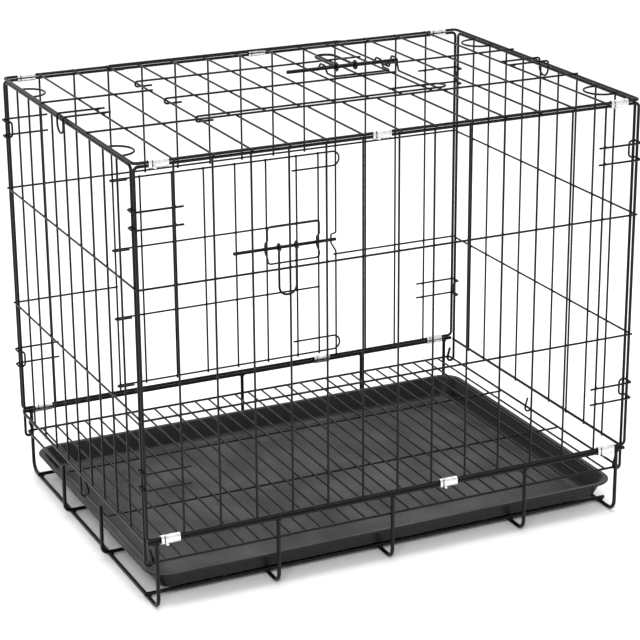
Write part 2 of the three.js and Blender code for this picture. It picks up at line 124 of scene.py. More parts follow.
HANDLE = 3.2
EYE_PLAY = 0.5
HANDLE_BEND = 11.8
BRACKET_BEND = 5.0
BRACKET_DEPTH = 50.7
BOLT_CHAMFER = 0.8
BUMP_HALF, BUMP_RAMP, BUMP_BEND = 6.0, 6.5, 3.0

CLIP_WALL = 0.9
CLIP_SEAM = 1.6  # the gap along a sleeve's back
CLIP_COLLAR, CLIP_SLOT = 3.4, 1.3  # lengths of its collar and of the slot beside it
CLIP_NECK, NECK_LAP = 2.8, 0.1  # the strip that joins the collar over the slot, and its laps
CLIP_BRIM = 0.3  # each cut end keeps its full section for this far
CRIMP_INSET, CRIMP_HALF, CRIMP_SQUEEZE = 3.2, 1.2, 0.93  # place, half length and pinch
TONGUE_WIDTH, TONGUE_BEND = 2.6, 3.0
TONGUE_ROOT_UP = 2.4  # its root, up from the sleeve's lower end
TONGUE_WALL = 0.8 * CLIP_WALL
TONGUE_ROOT_OUT = 0.4 * CLIP_WALL  # its root lies within the sleeve's wall

TRAY_WALL = 2.0
TRAY_LIP = 5.0
TRAY_SLOPE = 13.0  # how far the walls lean out from floor to rim
TRAY_CORNER = 27.0
TRAY_CORNER_SHARE = 0.75  # its corners get tighter by this share of a ring's inset
TRAY_FILLET = 5.0
LIP_ROUND = 0.5  # under the lip's edge
LIP_CREST = 0.6  # over it
LIP_ROOT = 0.2  # where the outside wall meets the lip
LIP_FALL = 0.7  # where the lip turns down into the tray
STEP_IN, STEP_RAMP, STEP_DEPTH = 7.0, 0.6, 0.5  # the floor's shallow step
FLOOR_INSET = 30.0  # the last ring of the floor's mesh


# ---- places, from the frame ----
def low(node):
    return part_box(node)[0] / MM


def high(node):
    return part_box(node)[1] / MM


def middle(node):
    return (low(node) + high(node)) / 2


half_length = (high("front_rail").x - low("front_rail").x) / 2
half_width = (middle("back_rail").y - middle("front_rail").y) / 2
middle_y = (middle("back_rail").y + middle("front_rail").y) / 2
rail_z = middle("front_rail").z
top_z = low("top_panel").z + EDGE / 2
panel_top = high("front_panel").z - EDGE / 2
panel_bottom = low("front_panel").z + EDGE / 2
hinge_x = high("floor_grate").x - GRATE_EDGE / 2
grate_z = high("floor_grate").z - GRATE_EDGE / 2
grate_half = (high("floor_grate").y - low("floor_grate").y - GRATE_EDGE) / 2
end_half = (high("left_end_panel").y - low("left_end_panel").y - EDGE) / 2
end_pitch = 2 * end_half / END_SPACES
catch_x = middle("rear_catch_wire").x


def mesh_x(i):
    """Where an upright of a long panel stands, counted from the left edge."""
    return -half_length + 2 * half_length * i / LONG_SPACES


# ---- mesh making ----
def around(count):
    """The angles of a full turn in equal steps."""
    return [2 * math.pi * k / count for k in range(count)]


def face_of(origin, across, up):
    """A flat face of the crate: gives the point at x across, y up and w outwards on it."""
    out = across.cross(up)
    return lambda x, y, w=0.0: origin + across * x + up * y + out * w


def outward(face):
    """The way out of a face of the crate, as a unit vector."""
    return face(0, 0, 1) - face(0, 0)


def upward(face):
    """The way up on a face, as its y counts."""
    return face(0, 1) - face(0, 0)


def rounded(points, radius, closed=False, steps=6):
    """The points with each corner turned into an arc. radius is one number or one per point."""
    radii = radius if isinstance(radius, (list, tuple)) else [radius] * len(points)
    path = []
    for i, at in enumerate(points):
        if not closed and i in (0, len(points) - 1):
            path.append(at.copy())
            continue
        back = (points[i - 1] - at).normalized()
        ahead = (points[(i + 1) % len(points)] - at).normalized()
        half = math.acos(max(-1.0, min(1.0, back.dot(ahead)))) / 2
        centre = at + (back + ahead).normalized() * radii[i] / math.sin(half)
        spoke = at + back * radii[i] / math.tan(half) - centre
        axis = ahead.cross(back).normalized()
        for step in range(steps + 1):
            turn = Quaternion(axis, (math.pi - 2 * half) * step / steps)
            path.append(centre + turn @ spoke)
    return path


def ring(mesh, at, normal, binormal, radius, sides):
    return [
        mesh.verts.new(at + normal * math.cos(t) * radius + binormal * math.sin(t) * radius)
        for t in around(sides)
    ]


def bridge(mesh, first, second):
    for k, corner in enumerate(first):
        beside = (k + 1) % len(first)
        mesh.faces.new((corner, first[beside], second[beside], second[k]))


def sweep(mesh, path, thickness, closed=False, sides=12, chamfer=CHAMFER):
    """A round wire along a path, with its cut ends' edges broken."""
    count = len(path)
    tangents = []
    for i in range(count):
        before = path[i - 1] if closed or i else path[0]
        after = path[(i + 1) % count] if closed or i < count - 1 else path[-1]
        into = (path[i] - before).normalized()
        onward = (after - path[i]).normalized()
        tangents.append((into + onward).normalized())
    normal = tangents[0].orthogonal().normalized()
    places = []
    for i, tangent in enumerate(tangents):
        normal = (normal - tangent * normal.dot(tangent)).normalized()
        places.append((path[i], normal, tangent.cross(normal), thickness / 2))
    if not closed:
        start, end = places[0], places[-1]
        places[0] = (start[0] + tangents[0] * chamfer, *start[1:])
        places[-1] = (end[0] - tangents[-1] * chamfer, *end[1:])
        places.insert(0, (*start[:3], thickness / 2 - chamfer))
        places.append((*end[:3], thickness / 2 - chamfer))
    rings = [ring(mesh, *place, sides) for place in places]
    for first, second in zip(rings, rings[1:]):
        bridge(mesh, first, second)
    if closed:
        bridge(mesh, rings[-1], rings[0])
    else:
        mesh.faces.new(reversed(rings[0]))
        mesh.faces.new(rings[-1])


def weld(mesh, at, out, size=WIRE):
    """The collar of metal that a spot weld squeezes out between two crossing wires."""
    turn = Z.rotation_difference(out).to_matrix().to_4x4()
    shape = Matrix.Diagonal((COLLAR_WIDE * size, COLLAR_WIDE * size, COLLAR_HIGH * size, 1))
    place = Matrix.Translation(at) @ turn @ shape
    bmesh.ops.create_icosphere(mesh, subdivisions=2, radius=1.0, matrix=place)


def new_piece(name, mesh, body, material, slot, *nodes):
    """A piece made from a mesh in millimetres, that rides on a body and stands for CAD nodes."""
    bmesh.ops.scale(mesh, vec=(MM, MM, MM), verts=mesh.verts)
    bmesh.ops.recalc_face_normals(mesh, faces=mesh.faces)
    data = bpy.data.meshes.new(name)
    mesh.to_mesh(data)
    mesh.free()
    data.materials.append(material)
    data.shade_smooth()
    data.set_sharp_from_angle(angle=math.radians(40))
    piece = bpy.data.objects.new(name, data)
    bpy.context.scene.collection.objects.link(piece)
    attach(piece, body)
    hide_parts(*nodes)
    return piece


def wire_piece(node, body, wires, welds=(), size=WIRE):
    """One welded or bent wire piece. wires holds (path, thickness) or (path, thickness, closed)."""
    mesh = bmesh.new()
    for wire in wires:
        sweep(mesh, *wire)
    for at, out in welds:
        weld(mesh, at, out, size)
    return new_piece(node + "_wire", mesh, body, coated_wire, "black_wire", node)


# ---- materials ----
def linear(code):
    """An sRGB hex colour as linear RGBA."""
    shares = [int(code[i : i + 2], 16) / 255 for i in (1, 3, 5)]
    return [s / 12.92 if s <= 0.04045 else ((s + 0.055) / 1.055) ** 2.4 for s in shares] + [1.0]


def add(tree, kind, settings=None, links=None, **values):
    """Adds a node: settings are its attributes, values and links its inputs by name or number."""
    node = tree.nodes.new(kind)
    for key, value in (settings or {}).items():
        setattr(node, key, value)
    for key, value in values.items():
        node.inputs[key.replace("_", " ")].default_value = value
    for key, source in (links or {}).items():
        tree.links.new(source, node.inputs[key])
    return node


def new_material(name, **values):
    """A material with one Principled shader. Returns it, its tree, its shader and a place in mm."""
    material = bpy.data.materials.new(name)
    material.use_nodes = True
    tree = material.node_tree
    tree.nodes.clear()
    shader = add(tree, "ShaderNodeBsdfPrincipled", **values)
    add(tree, "ShaderNodeOutputMaterial", links={"Surface": shader.outputs[0]})
    place = add(tree, "ShaderNodeTexCoord").outputs["Object"]
    in_mm = add(tree, "ShaderNodeVectorMath", {"operation": "SCALE"}, {0: place}, Scale=1 / MM)
    return material, tree, shader, in_mm.outputs[0]


def noise(tree, place, size_mm, detail=2.0):
    """Noise whose lumps are about size_mm across, on a place given in millimetres."""
    return add(
        tree,
        "ShaderNodeTexNoise",
        links={"Vector": place},
        Scale=1 / size_mm,
        Detail=detail,
    ).outputs[0]


def ramp(tree, source, stops):
    """A colour ramp through (place, hex colour) stops."""
    node = add(tree, "ShaderNodeValToRGB", links={"Fac": source})
    elements = node.color_ramp.elements
    while len(elements) < len(stops):
        elements.new(0.5)
    for element, (at, code) in zip(elements, stops):
        element.position = at
        element.color = linear(code)
    return node.outputs[0]


def spread(tree, source, smallest, largest):
    """A value from 0 to 1 brought to between two values."""
    node = add(tree, "ShaderNodeMapRange", links={"Value": source}, To_Min=smallest, To_Max=largest)
    return node.outputs[0]


def multiply(tree, first, second):
    return add(tree, "ShaderNodeMath", {"operation": "MULTIPLY"}, {0: first, 1: second}).outputs[0]


def multiply_add(tree, source, share, base):
    """A share of one value added to another."""
    node = add(tree, "ShaderNodeMath", {"operation": "MULTIPLY_ADD"}, {0: source, 2: base})
    node.inputs[1].default_value = share
    return node.outputs[0]


def bump(tree, shader, height, depth_mm, strength=1.0):
    """Gives the shader a bump of a real depth."""
    node = add(
        tree,
        "ShaderNodeBump",
        links={"Height": height},
        Strength=strength,
        Distance=depth_mm * MM,
    )
    tree.links.new(node.outputs[0], shader.inputs["Normal"])


def make_coated_wire():
    """Drawn steel wire, dipped and baked black: a smooth semi-gloss film that thins and thickens
    gently, with a fine orange peel and a trace of pale dust. Its long highlights look slightly broken."""
    material, tree, shader, place = new_material(
        "baked_black_coat_on_drawn_steel_wire", Metallic=0.0, IOR=1.5
    )
    shader.inputs["Specular IOR Level"].default_value = 0.2
    film = noise(tree, place, 14.0, 3.0)
    dust = noise(tree, place, 3.0, 4.0)
    colour = ramp(tree, multiply(tree, film, dust), [(0.1, "#040405"), (0.3, "#070708"), (0.5, "#101011")])
    tree.links.new(colour, shader.inputs["Base Color"])
    tree.links.new(spread(tree, dust, 0.22, 0.38), shader.inputs["Roughness"])
    peel = noise(tree, place, 0.9, 2.0)
    bump(tree, shader, peel, 0.06, 0.6)
    return material


def make_zinc_sheet():
    """Bright zinc-plated steel sheet, folded and crimped: pale and mirror-like in patches, with
    fine rolling lines along it and duller rubbed spots."""
    material, tree, shader, place = new_material("folded_zinc_plated_steel_sheet", Metallic=1.0)
    along = add(tree, "ShaderNodeVectorMath", {"operation": "MULTIPLY"}, {0: place})
    along.inputs[1].default_value = (0.12, 1.0, 1.0)  # draws the lines out along the sheet
    lines = noise(tree, along.outputs[0], 0.35, 3.0)
    patches = noise(tree, place, 4.0, 2.0)
    colour = ramp(tree, patches, [(0.3, "#c9cbcd"), (0.5, "#e2e3e4"), (0.7, "#f1f1f1")])
    tree.links.new(colour, shader.inputs["Base Color"])
    tree.links.new(spread(tree, lines, 0.22, 0.5), shader.inputs["Roughness"])
    bump(tree, shader, lines, 0.03, 0.6)
    return material


def make_tray_plastic():
    """Injection-moulded black polypropylene: the faces that lie flat have a fine cross-hatched grain
    from the mould and are matt, and the walls are smooth and glossier. The faces that look up are also
    painted greyer, as painted light, and the walls darker, as painted shade. Faint cloudy flow marks
    run over both. The hatch is drawn coarser than it is so that it shows."""
    material, tree, shader, place = new_material(
        "moulded_black_polypropylene", Metallic=0.0, IOR=1.49
    )
    shader.inputs["Specular IOR Level"].default_value = 0.25
    hatch = []
    for turn in (math.radians(38), math.radians(-38)):
        turned = add(
            tree, "ShaderNodeVectorRotate", {"rotation_type": "Z_AXIS"}, {"Vector": place}, Angle=turn
        ).outputs[0]
        wave = add(tree, "ShaderNodeTexWave", links={"Vector": turned}, Scale=0.1, Distortion=0.6)
        hatch.append(wave.outputs["Fac"])
    # which way a face looks picks its colour: faces that look up get the mould's grain, a matt finish and
    # painted light
    facing = add(tree, "ShaderNodeNewGeometry").outputs["Normal"]
    level = add(tree, "ShaderNodeSeparateXYZ", links={"Vector": facing}).outputs["Z"]
    flat = add(tree, "ShaderNodeMapRange", links={"Value": level}, From_Min=0.9, From_Max=0.99).outputs[0]
    cloud = noise(tree, place, 60.0, 3.0)
    speckle = noise(tree, place, 2.2, 2.0)
    crossed = multiply(tree, hatch[0], hatch[1])
    grain = multiply(tree, crossed, flat)
    tone = multiply_add(tree, crossed, 0.35, cloud)
    shade = multiply_add(tree, speckle, 0.25, tone)
    # painted light: faces that look up are painted greyer than the black plastic, over the hatch and flow
    # marks
    grain_colour_painted_light = ramp(tree, shade, [(0.4, "#252527"), (0.65, "#373739"), (0.95, "#4e4e51")])
    # painted shade: the walls are painted darker than the black plastic
    plain = ramp(tree, cloud, [(0.35, "#040405"), (0.65, "#0c0c0d")])
    # painted light on the faces that look up, painted shade on the walls
    colour = add(tree, "ShaderNodeMix", {"data_type": "RGBA"}, {0: flat, 6: plain, 7: grain_colour_painted_light}).outputs[2]
    tree.links.new(colour, shader.inputs["Base Color"])
    matt = spread(tree, speckle, 0.5, 0.68)
    gloss = spread(tree, cloud, 0.3, 0.42)
    rough = add(tree, "ShaderNodeMix", {"data_type": "FLOAT"}, {0: flat, 2: gloss, 3: matt}).outputs[0]
    tree.links.new(rough, shader.inputs["Roughness"])
    bump(tree, shader, grain, 0.3, 0.8)
    return material


def make_floor_paint():
    """White emulsion on a floor: dead matt, with a hardly visible unevenness where it was rolled."""
    material, tree, shader, place = new_material("white_floor_emulsion", Roughness=1.0)
    shader.inputs["Specular IOR Level"].default_value = 0.0
    colour = ramp(tree, noise(tree, place, 300.0), [(0.3, "#f6f6f6"), (0.7, "#f8f8f8")])
    tree.links.new(colour, shader.inputs["Base Color"])
    return material


coated_wire = make_coated_wire()
zinc_sheet = make_zinc_sheet()
tray_plastic = make_tray_plastic()
floor_paint = make_floor_paint()


# ---- base ----
def add_base():
    for node in ("front_rail", "back_rail"):
        y = middle(node).y
        rail = [Vector((-half_length, y, rail_z)), Vector((half_length, y, rail_z))]
        wire_piece(node, "base", [(rail, BASE)])
    for i in range(1, 6):
        node = f"leg_wire_{i}"
        x = middle(node).x
        side = face_of(Vector((x, middle_y, 0)), Y, Z)
        top = rail_z - SINK
        corners = [
            side(-half_width, top),
            side(-half_width, BASE / 2),
            side(half_width, BASE / 2),
            side(half_width, top),
        ]
        welds = [(side(sign * half_width, rail_z - BASE / 2), Z) for sign in (-1, 1)]
        wire_piece(node, "base", [(rounded(corners, LEG_BEND), BASE)], welds, BASE)
    runner_z = middle("side_runner_front").z
    legs_x = [middle(f"leg_wire_{i}").x for i in range(1, 6)]
    for face in ("front", "back"):
        for kind in ("side_runner_", "hooked_runner_"):
            node = kind + face
            y = middle(node).y
            start = low(node).x - POKE if kind == "side_runner_" else low(node).x + BASE / 2
            end = high(node).x + TIP
            points = [Vector((start, y, runner_z)), Vector((end, y, runner_z))]
            if kind == "hooked_runner_":
                points.insert(0, Vector((start, y, high(node).z)))
            welds = [(Vector((x, y, runner_z - BASE / 2)), Z) for x in legs_x]
            wire_piece(node, "base", [(rounded(points, RISER_BEND), BASE)], welds, BASE)


def add_grate():
    floor = face_of(Vector((0, middle_y, grate_z)), X, Y)
    corners = [
        floor(-hinge_x, -grate_half),
        floor(hinge_x, -grate_half),
        floor(hinge_x, grate_half),
        floor(-hinge_x, grate_half),
    ]
    wires = [(rounded(corners, GRATE_EDGE, closed=True), GRATE_EDGE, True)]
    welds = []
    bearers = [-grate_half / 3, grate_half / 3]
    for i in range(1, GRATE_SPACES):
        x = -hinge_x + 2 * hinge_x * i / GRATE_SPACES
        wires.append(([floor(x, -grate_half), floor(x, grate_half)], WIRE))
        welds += [(floor(x, y, -LAID / 2), Z) for y in bearers]
        welds += [(floor(x, y), Z) for y in (-grate_half, grate_half)]
    for y in bearers:
        wires.append(([floor(-hinge_x, y, -LAID), floor(hinge_x, y, -LAID)], WIRE))
    wire_piece("floor_grate", "base", wires, welds)


# ---- panels ----
def edge_wire(face, lower, upper):
    corners = [
        face(-half_length, lower),
        face(half_length, lower),
        face(half_length, upper),
        face(-half_length, upper),
    ]
    return rounded(corners, CORNER, closed=True), EDGE, True


def rows_of(near, far):
    return [near + share * (far - near) for share in ROWS]


def add_front_panel(face):
    wires = [edge_wire(face, panel_bottom, panel_top)]
    rows = [panel_top - share * (panel_top - panel_bottom) for share in ROWS]
    welds = []
    for i in range(1, LONG_SPACES):
        x = mesh_x(i)
        wires.append(([face(x, panel_bottom - SINK), face(x, panel_top + SINK)], WIRE))
        welds += [(face(x, y, LAID / 2), outward(face)) for y in rows]
        welds += [(face(x, y), outward(face)) for y in (panel_bottom, panel_top)]
    for y in rows:
        ends = [face(-half_length - POKE, y, LAID), face(half_length + POKE, y, LAID)]
        wires.append((ends, WIRE))
    wire_piece("front_panel", "base", wires, welds)


def add_doorway_panel(face, node, near, far, near_poke, far_poke):
    """A panel whose doorway runs from its first row to its far edge."""
    out = outward(face)
    doorway, stub = rows_of(near, far)
    wires = [edge_wire(face, near, far)]
    welds = []
    for i in range(1, LONG_SPACES):
        if i == DOOR_RIGHT:
            continue
        x = mesh_x(i)
        in_doorway = DOOR_LEFT < i < DOOR_RIGHT
        end = doorway + TIP if in_doorway else far + far_poke
        wires.append(([face(x, near - near_poke), face(x, end)], WIRE))
        welds += [(face(x, doorway, LAID / 2), out), (face(x, near), out)]
        if not in_doorway:
            welds += [(face(x, stub, LAID / 2), out), (face(x, far), out)]
    reach = half_length + POKE
    for y, start, end in (
        (doorway, -reach, reach),
        (stub, -reach, mesh_x(DOOR_LEFT) + TIP),
        (stub, catch_x - TIP, reach),
    ):
        wires.append(([face(start, y, LAID), face(end, y, LAID)], WIRE))
    wire_piece(node, "base", wires, welds)


def bump_over(y, foot, crest):
    """The bump by which a wire passes over a bolt: its corners, as pairs of y and w."""
    return [
        (y - BUMP_HALF - BUMP_RAMP, foot),
        (y - BUMP_HALF, crest),
        (y + BUMP_HALF, crest),
        (y + BUMP_HALF + BUMP_RAMP, foot),
    ]


def add_catch_wire(face, name, near, far, near_poke, far_poke, bolt_y, crest):
    foot = LAID - WIRE
    points = [(near - near_poke, foot), *bump_over(bolt_y, foot, crest), (far + far_poke, foot)]
    path = rounded([face(catch_x, y, w) for y, w in points], BUMP_BEND)
    rows = rows_of(near, far)
    out = outward(face)
    welds = [(face(catch_x, y, LAID / 2), out) for y in rows]
    wire_piece(name + "_catch_wire", "base", [(path, WIRE)], welds)


def add_door(face, name, rows, edge):
    """The outermost rows each run in one wire from the hinge loop to the stop and back."""
    hinge = mesh_x(DOOR_LEFT)
    wires = []
    bend = DOOR_LIFT - EASE
    for i, y in enumerate(rows):
        loop = [
            face(hinge + LOOP_TAIL, y, -DOOR_LIFT),
            face(hinge - DOOR_LIFT, y, -DOOR_LIFT),
            face(hinge - DOOR_LIFT, y, DOOR_LIFT),
        ]
        if i in (0, len(rows) - 1):
            back = y + (2 * STOP_BEND if i == 0 else -2 * STOP_BEND)
            tip = catch_x + STOP_REACH
            stop = [
                face(tip, y, DOOR_LIFT),
                face(tip, back, DOOR_LIFT),
                face(catch_x - STOP_BACK, back, DOOR_LIFT),
            ]
            radii = [0, bend, bend, STOP_BEND - EASE, STOP_BEND - EASE, 0]
            wires.append((rounded(loop + stop, radii), WIRE))
        else:
            wires.append((rounded([*loop, face(edge + TIP, y, DOOR_LIFT)], bend), WIRE))
    uprights = [hinge + DOOR_FIRST + i * DOOR_PITCH for i in range(DOOR_UPRIGHTS)] + [edge]
    inside = DOOR_LIFT - LAID
    welds = []
    out = outward(face)
    for x in uprights:
        wires.append(([face(x, rows[0] - TIP, inside), face(x, rows[-1] + TIP, inside)], WIRE))
        welds += [(face(x, y, (inside + DOOR_LIFT) / 2), out) for y in rows]
    wire_piece(name + "_door", name + "_door", wires, welds)


def add_latch(face, name, rows, bolt_y, bolt_w, crest):
    bracket = name + "_latch_bracket"
    left, right = low(bracket).x + WIRE, high(bracket).x - WIRE
    lower = rows[1]
    upper = lower + BRACKET_DEPTH
    lift = DOOR_LIFT + WIRE + GAP
    side = [(lower, lift), *bump_over(bolt_y, lift, crest), (upper, lift)]
    corners = [face(left, y, w) for y, w in side] + [face(right, y, w) for y, w in reversed(side)]
    radii = [BRACKET_BEND, *[BUMP_BEND] * 4, BRACKET_BEND] * 2
    wire_piece(bracket, name + "_door", [(rounded(corners, radii, closed=True), WIRE, True)])

    bolt = name + "_bolt"
    rod = high(bolt).x - low(bolt).x
    start = face(low(bolt).x, bolt_y, bolt_w)
    path = [start, start + X * rod]
    mesh = bmesh.new()
    thickness = high(bolt).z - low(bolt).z
    sweep(mesh, path, thickness, sides=20, chamfer=BOLT_CHAMFER)
    new_piece(bolt + "_rod", mesh, bolt, coated_wire, "black_wire", bolt)

    handle = name + "_bolt_handle"
    eye = thickness / 2 + EYE_PLAY + HANDLE / 2
    legs = [low(handle).x + HANDLE / 2, high(handle).x - HANDLE / 2]
    ends = [(corner - start).dot(upward(face)) for corner in (low(handle), high(handle))]
    drop = max(map(abs, ends)) - HANDLE / 2
    wires = []
    for x in legs:
        circle = [face(x, bolt_y + eye * math.cos(t), bolt_w + eye * math.sin(t)) for t in around(24)]
        wires.append((circle, HANDLE, True))
    grip = [
        face(legs[0], bolt_y + eye, bolt_w),
        face(legs[0], bolt_y + drop, bolt_w),
        face(legs[1], bolt_y + drop, bolt_w),
        face(legs[1], bolt_y + eye, bolt_w),
    ]
    wires.append((rounded(grip, HANDLE_BEND), HANDLE))
    wire_piece(handle, name + "_handle", wires)


def add_door_side(face, name, panel, near, far, pokes):
    """A panel with its doorway, catch wire, door and latch. near and far are its edges' y."""
    doorway = rows_of(near, far)[0]
    first, last = doorway + DOOR_GAP, far - DOOR_GAP
    rows = [first + (last - first) * i / (DOOR_ROWS - 1) for i in range(DOOR_ROWS)]
    origin = face(0, 0)
    out = outward(face)
    bolt = middle(name + "_bolt") - origin
    bolt_y, bolt_w = bolt.dot(upward(face)), bolt.dot(out)
    crest = max((corner(name + "_catch_wire") - origin).dot(out) for corner in (low, high)) - WIRE / 2
    edge = high(name + "_door").x - STOP_REACH - WIRE / 2 - DOOR_EDGE_GAP[name]
    add_doorway_panel(face, panel, near, far, *pokes)
    add_catch_wire(face, name, near, far, *pokes, bolt_y, crest)
    add_door(face, name, rows, edge)
    add_latch(face, name, rows, bolt_y, bolt_w, crest)


def add_end_panel(end, side):
    """An end panel. Its edge wire runs in one piece from hinge hook over the top to hinge hook."""
    face = face_of(Vector((side * half_length, middle_y, 0)), Y * side, Z)
    out = outward(face)
    body = end + "_end"

    def hook(x):
        """The foot of a wire that hooks round the grate's end wire, from its tail up."""
        return [
            face(x, grate_z + KNUCKLE_TAIL, -2 * KNUCKLE + KNUCKLE_CLOSE),
            face(x, grate_z + KNUCKLE / 2, -2 * KNUCKLE),
            face(x, grate_z - KNUCKLE, -2 * KNUCKLE),
            face(x, grate_z - KNUCKLE, 0),
        ]

    bend = KNUCKLE - EASE
    foot_bends = [bend, bend, bend]
    rim = [*hook(-end_half), face(-end_half, panel_top), face(end_half, panel_top)]
    rim += reversed(hook(end_half))
    wires = [(rounded(rim, [0, *foot_bends, CORNER, CORNER, *reversed(foot_bends), 0]), EDGE)]
    lower = [face(-end_half - TIP, rail_z), face(end_half + TIP, rail_z)]
    wires.append((lower, EDGE))
    rows = [panel_top - share * (panel_top - panel_bottom) for share in ROWS]
    welds = []
    for i in range(1, END_SPACES):
        x = -end_half + i * end_pitch
        foot, bends = [face(x, rail_z - POKE)], []
        if i == END_SPACES // 2:
            foot, bends = hook(x), foot_bends
        path = rounded([*foot, face(x, panel_top + SINK)], [0, *bends, 0])
        wires.append((path, WIRE))
        welds += [(face(x, y, LAID / 2), out) for y in rows]
        welds += [(face(x, y), out) for y in (rail_z, panel_top)]
    for y in rows:
        wires.append(([face(-end_half - TIP, y, LAID), face(end_half + TIP, y, LAID)], WIRE))
    wire_piece(end + "_end_panel", body, wires, welds)

    for place in ("front", "back"):
        node = f"{end}_hand_loop_{place}"
        ys = (low(node).y + WIRE / 2, high(node).y - WIRE / 2)
        root = side * (half_length - SINK)
        depth = side * (half_length - HAND_LOOP_DEPTH)
        corners = [
            Vector((root, ys[0], panel_top)),
            Vector((depth, ys[0], panel_top)),
            Vector((depth, ys[1], panel_top)),
            Vector((root, ys[1], panel_top)),
        ]
        path = rounded(corners, (ys[1] - ys[0]) / 2 - SINK, steps=10)
        wire_piece(node, body, [(path, WIRE)])


# ---- hooks that hold the end panels ----
def hook_path(legs, steps, bends):
    """A hook bent from one wire. legs are its two free ends, and each leg goes on by the steps."""
    sides = [list(accumulate([leg, *steps])) for leg in legs]
    corners = [*sides[0], *reversed(sides[1])]
    return rounded(corners, [0, *bends, *reversed(bends), 0], steps=8)


def outermost(node, axis, sign):
    """The far edge of a node's box along one axis, on the side that the sign gives."""
    return (high(node) if sign > 0 else low(node))[axis]


def add_corner_hooks():
    """Each hook passes the corner, turns in beside the end panel and closes in a loop behind it."""
    for face, y_sign in (("front", -1), ("back", 1)):
        for end, x_sign in (("left", -1), ("right", 1)):
            for level in ("upper", "lower"):
                node = f"corner_hook_{face}_{end}_{level}"
                outer = outermost(node, 0, x_sign) - x_sign * WIRE / 2
                inner = outermost(node, 0, -x_sign)
                y = outermost(node, 1, y_sign) - y_sign * WIRE / 2
                depth = high(node).y - low(node).y - WIRE
                legs = [Vector((inner, y, middle(node).z + s * HOOK_SPREAD / 2)) for s in (-1, 1)]
                steps = [X * (outer - inner), Y * -y_sign * depth, X * -x_sign * HOOK_TIP]
                path = hook_path(legs, steps, [HOOK_BEND, HOOK_BEND, HOOK_TIP - HOOK_BEND - EASE])
                x = x_sign * mesh_x(LONG_SPACES - 1)
                welds = [(Vector((x, y - y_sign * WIRE / 2, leg.z)), Y) for leg in legs]
                wire_piece(node, "base", [(path, WIRE)], welds)


def add_top_hooks():
    for end, sign in (("left", -1), ("right", 1)):
        node = "top_hook_" + end
        outer = outermost(node, 0, sign) - sign * WIRE / 2
        inner = outermost(node, 0, -sign)
        z = high(node).z - WIRE / 2
        y = middle(node).y
        legs = [Vector((inner, y + s * TOP_HOOK_SPREAD / 2, z)) for s in (-1, 1)]
        steps = [X * (outer - inner), Z * (low(node).z + WIRE / 2 - z)]
        path = hook_path(legs, steps, [HOOK_BEND, TOP_HOOK_SPREAD / 2 - EASE])
        welds = [(Vector((sign * mesh_x(LONG_SPACES - 1), leg.y, z - WIRE / 2)), Z) for leg in legs]
        wire_piece(node, "base", [(path, WIRE)], welds)


# ---- clips ----
def sleeve_outline(half_across, half_up, gap, steps=7):
    """A sheet folded round two wires, as (point, outward normal) pairs, open at its back."""
    bend = half_across
    centres = [(0, half_up - bend, 0), (0, bend - half_up, math.pi)]
    outline = [((-half_across, gap / 2), (-1, 0))]
    for across, up, start in centres:
        for k in range(steps + 1):
            t = math.pi - math.pi * k / steps - start
            n = (math.cos(t), math.sin(t))
            outline.append(((across + bend * n[0], up + bend * n[1]), n))
    outline.append(((-half_across, -gap / 2), (-1, 0)))
    return outline


def sheet(mesh, rows, wall):
    """A sheet through rows of (point, normal), given a wall's thickness outwards."""
    inner = [[mesh.verts.new(at) for at, _ in row] for row in rows]
    outer = [[mesh.verts.new(at + n * wall) for at, n in row] for row in rows]
    last_row, last = len(rows) - 1, len(rows[0]) - 1
    for i in range(last_row):
        for j in range(last):
            mesh.faces.new((inner[i][j], inner[i][j + 1], inner[i + 1][j + 1], inner[i + 1][j]))
            mesh.faces.new((outer[i][j], outer[i + 1][j], outer[i + 1][j + 1], outer[i][j + 1]))
        for j in (0, last):
            mesh.faces.new((inner[i][j], inner[i + 1][j], outer[i + 1][j], outer[i][j]))
    for j in range(last):
        for i in (0, last_row):
            mesh.faces.new((inner[i][j], inner[i][j + 1], outer[i][j + 1], outer[i][j]))


def add_clip(node):
    """A zinc sleeve with a slotted collar at its left end, two crimps and a bent-out tongue."""
    out = Y if middle(node).y > middle_y else -Y
    size = high(node) - low(node)
    half_across = size.y / 2 - CLIP_WALL
    half_up = size.z / 2 - CLIP_WALL
    centre = middle(node)
    outline = sleeve_outline(half_across, half_up, CLIP_SEAM)
    half = size.x / 2

    def row(x, squeeze=1.0):
        return [
            (centre + X * x + out * (p[0] * squeeze) + Z * (p[1] * squeeze), out * n[0] + Z * n[1])
            for p, n in outline
        ]

    mesh = bmesh.new()
    collar_end = -half + CLIP_COLLAR
    slot_end = collar_end + CLIP_SLOT
    collar = (-half, -half + CLIP_BRIM, collar_end - CLIP_BRIM, collar_end)
    sheet(mesh, [row(x) for x in collar], CLIP_WALL)
    rows = [row(slot_end), row(slot_end + CLIP_BRIM)]
    for crimp in (slot_end + CRIMP_INSET, half - CRIMP_INSET):
        rows += [row(crimp - CRIMP_HALF), row(crimp, CRIMP_SQUEEZE), row(crimp + CRIMP_HALF)]
    rows += [row(half - CLIP_BRIM), row(half)]
    sheet(mesh, rows, CLIP_WALL)
    neck = [
        [(centre + X * x + out * side + Z * half_up, Z) for side in (-CLIP_NECK / 2, 0, CLIP_NECK / 2)]
        for x in (collar_end - NECK_LAP, slot_end + NECK_LAP)
    ]
    sheet(mesh, neck, CLIP_WALL)
    tongue = []
    for x in (slot_end, slot_end + TONGUE_WIDTH):
        strip = []
        for k in range(6):
            t = math.radians(18 * k)
            bent_out = half_across + TONGUE_ROOT_OUT + TONGUE_BEND * (1 - math.cos(t))
            down = half_up - TONGUE_ROOT_UP + TONGUE_BEND * math.sin(t)
            strip.append((centre + X * x + out * bent_out - Z * down, out * math.cos(t) + Z * math.sin(t)))
        tongue.append(strip)
    sheet(mesh, tongue, TONGUE_WALL)
    new_piece(node + "_sheet", mesh, "base", zinc_sheet, "zinc_sheet", node)


